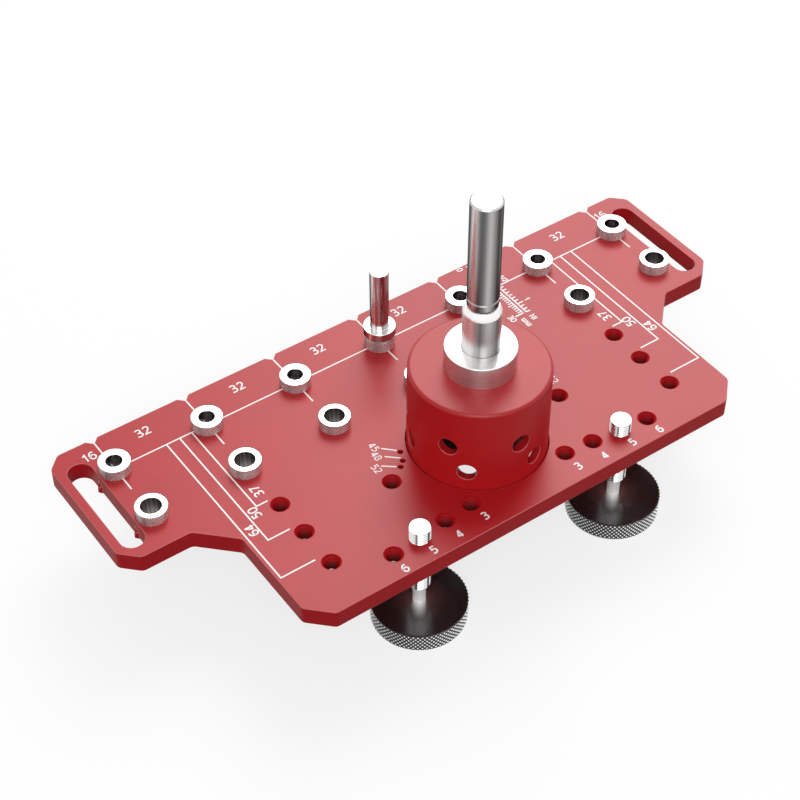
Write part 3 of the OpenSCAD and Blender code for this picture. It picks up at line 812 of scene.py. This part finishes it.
class Ink:
    """Collects flat strokes on the deck into one mesh."""

    def __init__(self):
        self.points, self.faces, self.strokes = [], [], 0

    def stroke(self, path, width):
        """A ribbon along the path, mitred at its corners. The strokes take seven heights in turn."""
        levels, sharpest, touching = 7, 0.45, 1e-6
        self.strokes += 1
        lift = INK_LIFT + (self.strokes % levels) * INK_STEP
        path = [Vector(p) for p in path]
        closed = (path[0] - path[-1]).length < touching
        base = len(self.points)
        n = len(path)
        for i, p in enumerate(path):
            before = path[i - 1] if i else (path[-2] if closed else None)
            after = path[i + 1] if i < n - 1 else (path[1] if closed else None)
            ways = [(q - p).normalized() * s for q, s in ((before, -1), (after, 1)) if q is not None]
            along = (ways[0] + ways[-1]).normalized()
            side = Vector((-along.y, along.x))
            reach = width / 2 / max(sharpest, along.dot(ways[0]))
            for s in (-1, 1):
                q = p + side * reach * s
                self.points.append((q.x * MM, q.y * MM, lift))
        for i in range(n - 1):
            a = base + 2 * i
            self.faces.append((a, a + 2, a + 3, a + 1))

    def text(self, words, x, y, height, turn=0, width=STROKE_W):
        """Figures centred on (x, y); turn is in degrees against the clock."""
        scale = height - width
        steps = [ADVANCE.get(c, PLAIN_ADVANCE) for c in words]
        total = sum(steps[:-1]) + WIDE_FIGURES.get(words[-1], FIGURE_W)
        cos, sin = math.cos(math.radians(turn)), math.sin(math.radians(turn))
        pen = -total / 2
        for c, step in zip(words, steps):
            for path in FIGURES[c]:
                smooth = path if c in STRAIGHT_FIGURES else rounded(path)
                spots = [((pen + u) * scale, (v - 0.5) * scale) for u, v in smooth]
                self.stroke([(x + u * cos - v * sin, y + u * sin + v * cos) for u, v in spots], width)
            pen += step


# The row line is crossed at every bush by a line from the first y to the second. On each side three edge
# lines run down to the settings 37, 50 and 64 mm, and end in a tick towards the middle: (x, reach, tick)
PITCH, HALF_ROW = 32, 3
BUSH_LINE = (12.9, -9.9)
EDGE_LINES = ((69.6, 37.0, 3.9), (73.8, 50.0, 7.4), (78.4, 64.0, 11.6))

# Figures, each as its place and its text
ROW_FIGURES = (
    (-100.0, "16"), (-81.6, "32"), (-47.9, "32"), (-17.9, "32"),
    (13.5, "32"), (47.9, "32"), (79.5, "32"), (98.6, "16"))
ROW_FIGURE_Y, ROW_FIGURE_H = 8.85, 3.5
EDGE_FIGURES = (
    (-66.3, -32.0, "37"), (-71.4, -38.9, "50"), (-75.7, -44.2, "64"),
    (66.9, -31.7, "37"), (71.4, -38.2, "50"), (75.8, -43.7, "64"))
EDGE_FIGURE_H = 3.2
STOP_FIGURES = (
    (-17.2, -78.5, "3"), (-27.5, -79.8, "4"), (-37.1, -80.4, "5"), (-47.7, -81.3, "6"),
    (17.5, -78.7, "3"), (26.8, -79.8, "4"), (37.2, -80.4, "5"), (47.5, -80.9, "6"))
STOP_FIGURE_H, STOP_STROKE_W = 3.1, 0.52
HINGE_FIGURES = (
    (-27.95, -37.05, "45"), (-29.4, -40.55, "48"), (-32.35, -44.9, "52"),
    (29.9, -37.4, "45"), (31.6, -41.2, "48"), (34.6, -45.2, "52"))
HINGE_FIGURE_H, HINGE_STROKE_W = 2.5, 0.33
HINGE_LINES = (
    [(-26.4, -38.8), (-23.05, -42.2)], [(-27.5, -42.15), (-23.95, -45.4)],
    [(-30.55, -44.75), (-26.95, -47.65)], [(28.4, -38.8), (23.6, -42.6)],
    [(29.6, -42.6), (24.6, -45.9)], [(32.6, -46.4), (27.2, -48.2)])

# The ruler starts at the board's edge: sixteenths of an inch on one side, millimetres on the other. Its
# figures are (x, y, text, height), and its units also have the width of their strokes.
EDGE_Y, INCH = 14.7, 25.4
IN_X, IN_LENGTH = 47.35, 30.4
MM_X, MM_LENGTH = 46.15, 30.2
SIXTEENTHS, MILLIMETRES = 19, 30
IN_TICK, IN_LONG_TICK, IN_TICK_W = 1.55, 2.25, 0.55
MM_TICK, MM_FIVE_TICK, MM_TEN_TICK, MM_TICK_W, LAST_TICK_W = 1.55, 2.2, 3.2, 0.45, 0.6
RULER_FIGURES = (
    (42.1, 13.8, "0", 2.3), (41.6, 4.7, "10", 2.3), (41.6, -5.3, "20", 2.3), (41.5, -15.5, "30", 2.3),
    (51.3, 2.0, "1/2", 1.9), (51.3, -10.6, "1", 2.3))
RULER_STROKE_W = 0.42
UNITS = ((47.7, -18.7, "IN", 2.4, 0.46), (44.4, -19.4, "mm", 1.9, 0.42))
ALONG_X, UP_THE_SIDE, DOWN_THE_SIDE = 0, 90, -90


def print_lines(ink):
    for i in range(-HALF_ROW, HALF_ROW + 1):
        ink.stroke([(i * PITCH, y) for y in BUSH_LINE], LINE_W)
    ink.stroke([(-HALF_ROW * PITCH, 0), (HALF_ROW * PITCH, 0)], LINE_W)
    for s in (-1, 1):
        for x, reach, tick in EDGE_LINES:
            ink.stroke([(s * x, 0), (s * x, -reach), (s * (x - tick), -reach)], LINE_W)


def print_figures(ink):
    for x, words in ROW_FIGURES:
        ink.text(words, x, ROW_FIGURE_Y, ROW_FIGURE_H)
    for x, y, words in EDGE_FIGURES:
        ink.text(words, x, y, EDGE_FIGURE_H, UP_THE_SIDE)
    for x, y, words in STOP_FIGURES:
        ink.text(words, x, y, STOP_FIGURE_H, ALONG_X, STOP_STROKE_W)
    for x, y, words in HINGE_FIGURES:
        ink.text(words, x, y, HINGE_FIGURE_H, DOWN_THE_SIDE, HINGE_STROKE_W)
    for path in HINGE_LINES:
        ink.stroke(path, LINE_W)


def print_ruler(ink):
    ink.stroke([(IN_X, EDGE_Y), (IN_X, EDGE_Y - IN_LENGTH)], LINE_W)
    ink.stroke([(MM_X, EDGE_Y), (MM_X, EDGE_Y - MM_LENGTH)], LINE_W)
    for k in range(1, SIXTEENTHS + 1):
        y = EDGE_Y - k * INCH / 16
        tick = IN_LONG_TICK if k % 8 == 0 else IN_TICK
        ink.stroke([(IN_X, y), (IN_X + tick, y)], IN_TICK_W)
    for k in range(1, MILLIMETRES + 1):
        y = EDGE_Y - k
        tick = MM_TEN_TICK if k % 10 == 0 else (MM_FIVE_TICK if k % 5 == 0 else MM_TICK)
        ink.stroke([(MM_X, y), (MM_X - tick, y)], LAST_TICK_W if k == MILLIMETRES else MM_TICK_W)
    for x, y, words, height in RULER_FIGURES:
        ink.text(words, x, y, height, DOWN_THE_SIDE, RULER_STROKE_W)
    for x, y, words, height, width in UNITS:
        ink.text(words, x, y, height, UP_THE_SIDE, width)


def printed_marks():
    """Everything printed on the deck, as one thin mesh."""
    ink = Ink()
    print_lines(ink)
    print_figures(ink)
    print_ruler(ink)
    looks = [PLAIN] * len(ink.faces)
    mats = ("white_print",)
    add_mesh("printed_marks", ink.points, ink.faces, looks, PRINT_AT, mats, "plate")


# Studio

FLOOR_HALF = 4.0
FLOOR_COLOUR, FLOOR_GLOW, FLOOR_BOUNCE = 0.27, 0.75, 0.12
FLOOR_FADE = (0.45, 1.00)
WORLD_LIGHT = 0.35
SOFTBOXES = {
    "back_box": dict(at=(0.66, 0.62, 1.06), target=(0.02, 0.0, 0.03), size=(0.85, 0.95), radiance=4.1),
    "front_box": dict(at=(-0.70, -1.02, 1.16), target=(0.0, 0.0, 0.03), size=(0.90, 0.90), radiance=4.0),
}

# The photograph's camera, fitted to the printed marks. Its place is measured from PRINT_AT.
SENSOR, LENS = 36.0, 83.22
CLIP_NEAR, CLIP_FAR = 0.01, 20.0
CAMERA_REACH = (-0.24489, -0.35757, 0.40177)
CAMERA_TILT, CAMERA_HEADING = 45.3877, -35.2655


def seen_rays(tree):
    """1 for what the camera sees, directly, in metal or through glass, and 0 for light on the part."""
    path = tree.nodes.new("ShaderNodeLightPath")
    value = path.outputs["Is Camera Ray"]
    for kind in ("Is Glossy Ray", "Is Transmission Ray"):
        more = tree.nodes.new("ShaderNodeMath")
        more.operation = "MAXIMUM"
        tree.links.new(value, more.inputs[0])
        tree.links.new(path.outputs[kind], more.inputs[1])
        value = more.outputs[0]
    return value


def between(tree, factor, low, high):
    """A value that is low where the factor is 0 and high where it is 1."""
    span = tree.nodes.new("ShaderNodeMapRange")
    span.inputs["To Min"].default_value = low
    span.inputs["To Max"].default_value = high
    tree.links.new(factor, span.inputs["Value"])
    return span.outputs["Result"]


def floor_level(tree):
    """How bright the seen floor glows: less under the part, where its shadow falls, than far away."""
    place = tree.nodes.new("ShaderNodeTexCoord")
    reach = tree.nodes.new("ShaderNodeVectorMath")
    reach.operation = "LENGTH"
    tree.links.new(place.outputs["Object"], reach.inputs[0])
    far = tree.nodes.new("ShaderNodeMapRange")
    far.inputs["From Min"].default_value = FLOOR_FADE[0]
    far.inputs["From Max"].default_value = FLOOR_FADE[1]
    tree.links.new(reach.outputs["Value"], far.inputs["Value"])
    return between(tree, far.outputs["Result"], FLOOR_GLOW, 1.0)


def pale_floor():
    """A floor that looks white where no shadow falls, and gives little light back to the part."""
    mat = bpy.data.materials.new("pale_floor")
    mat.use_nodes = True
    tree = mat.node_tree
    tree.nodes.clear()
    out = tree.nodes.new("ShaderNodeOutputMaterial")
    seen = seen_rays(tree)
    matt = tree.nodes.new("ShaderNodeBsdfDiffuse")
    tree.links.new(between(tree, seen, FLOOR_BOUNCE, FLOOR_COLOUR), matt.inputs["Color"])
    shown = tree.nodes.new("ShaderNodeMath")
    shown.operation = "MULTIPLY"
    tree.links.new(seen, shown.inputs[0])
    tree.links.new(floor_level(tree), shown.inputs[1])
    glow = tree.nodes.new("ShaderNodeEmission")
    glow.inputs["Color"].default_value = grey(1.0)
    tree.links.new(shown.outputs[0], glow.inputs["Strength"])
    both = tree.nodes.new("ShaderNodeAddShader")
    tree.links.new(matt.outputs[0], both.inputs[0])
    tree.links.new(glow.outputs[0], both.inputs[1])
    tree.links.new(both.outputs[0], out.inputs["Surface"])
    return mat


def studio_floor():
    corners = [(x * FLOOR_HALF, y * FLOOR_HALF, 0) for x, y in ((-1, -1), (1, -1), (1, 1), (-1, 1))]
    mesh = bpy.data.meshes.new("floor")
    mesh.from_pydata(corners, [], [(0, 1, 2, 3)])
    floor = bpy.data.objects.new("floor", mesh)
    bpy.context.scene.collection.objects.link(floor)
    mesh.materials.append(pale_floor())


def studio_world():
    """White for the camera and for reflections, a quieter grey as light on the part."""
    world = bpy.data.worlds.new("studio")
    bpy.context.scene.world = world
    world.use_nodes = True
    tree = world.node_tree
    tree.nodes.clear()
    out = tree.nodes.new("ShaderNodeOutputWorld")
    light = tree.nodes.new("ShaderNodeBackground")
    light.inputs["Color"].default_value = grey(1.0)
    tree.links.new(between(tree, seen_rays(tree), WORLD_LIGHT, 1.0), light.inputs["Strength"])
    tree.links.new(light.outputs[0], out.inputs["Surface"])


def softbox(name, at, target, size, radiance):
    """A rectangular soft light of an even brightness, which faces its target."""
    lamp = bpy.data.lights.new(name, "AREA")
    lamp.shape = "RECTANGLE"
    lamp.size, lamp.size_y = size
    lamp.energy = radiance * math.pi * size[0] * size[1]
    obj = bpy.data.objects.new(name, lamp)
    bpy.context.scene.collection.objects.link(obj)
    obj.location = at
    obj.rotation_euler = (Vector(target) - Vector(at)).to_track_quat("-Z", "Y").to_euler()


def studio_camera():
    """The photograph's own view: from the front left, 44.6 degrees above the deck."""
    data = bpy.data.cameras.new("camera")
    data.sensor_width = SENSOR
    data.lens = LENS
    data.clip_start, data.clip_end = CLIP_NEAR, CLIP_FAR
    camera = bpy.data.objects.new("camera", data)
    bpy.context.scene.collection.objects.link(camera)
    camera.location = Vector(PRINT_AT) + Vector(CAMERA_REACH)
    camera.rotation_euler = (math.radians(CAMERA_TILT), 0.0, math.radians(CAMERA_HEADING))
    bpy.context.scene.camera = camera


dress_nodes()
BUSHES_PER_ROW = 7
SMALL_BORE, LARGE_BORE = 2.5 * MM, 3.175 * MM
for number in range(1, BUSHES_PER_ROW + 1):
    knurled_bush("small_bush_%d" % number, SMALL_BORE)
    knurled_bush("large_bush_%d" % number, LARGE_BORE)
index_pin()
tapped_threads()
for side in ("left", "right"):
    knurled_wheel(side)
    stop_screw(side)
printed_marks()

studio_floor()
studio_world()
studio_camera()
for name, box in SOFTBOXES.items():
    softbox(name, **box)
bpy.context.scene.view_settings.view_transform = "Standard"
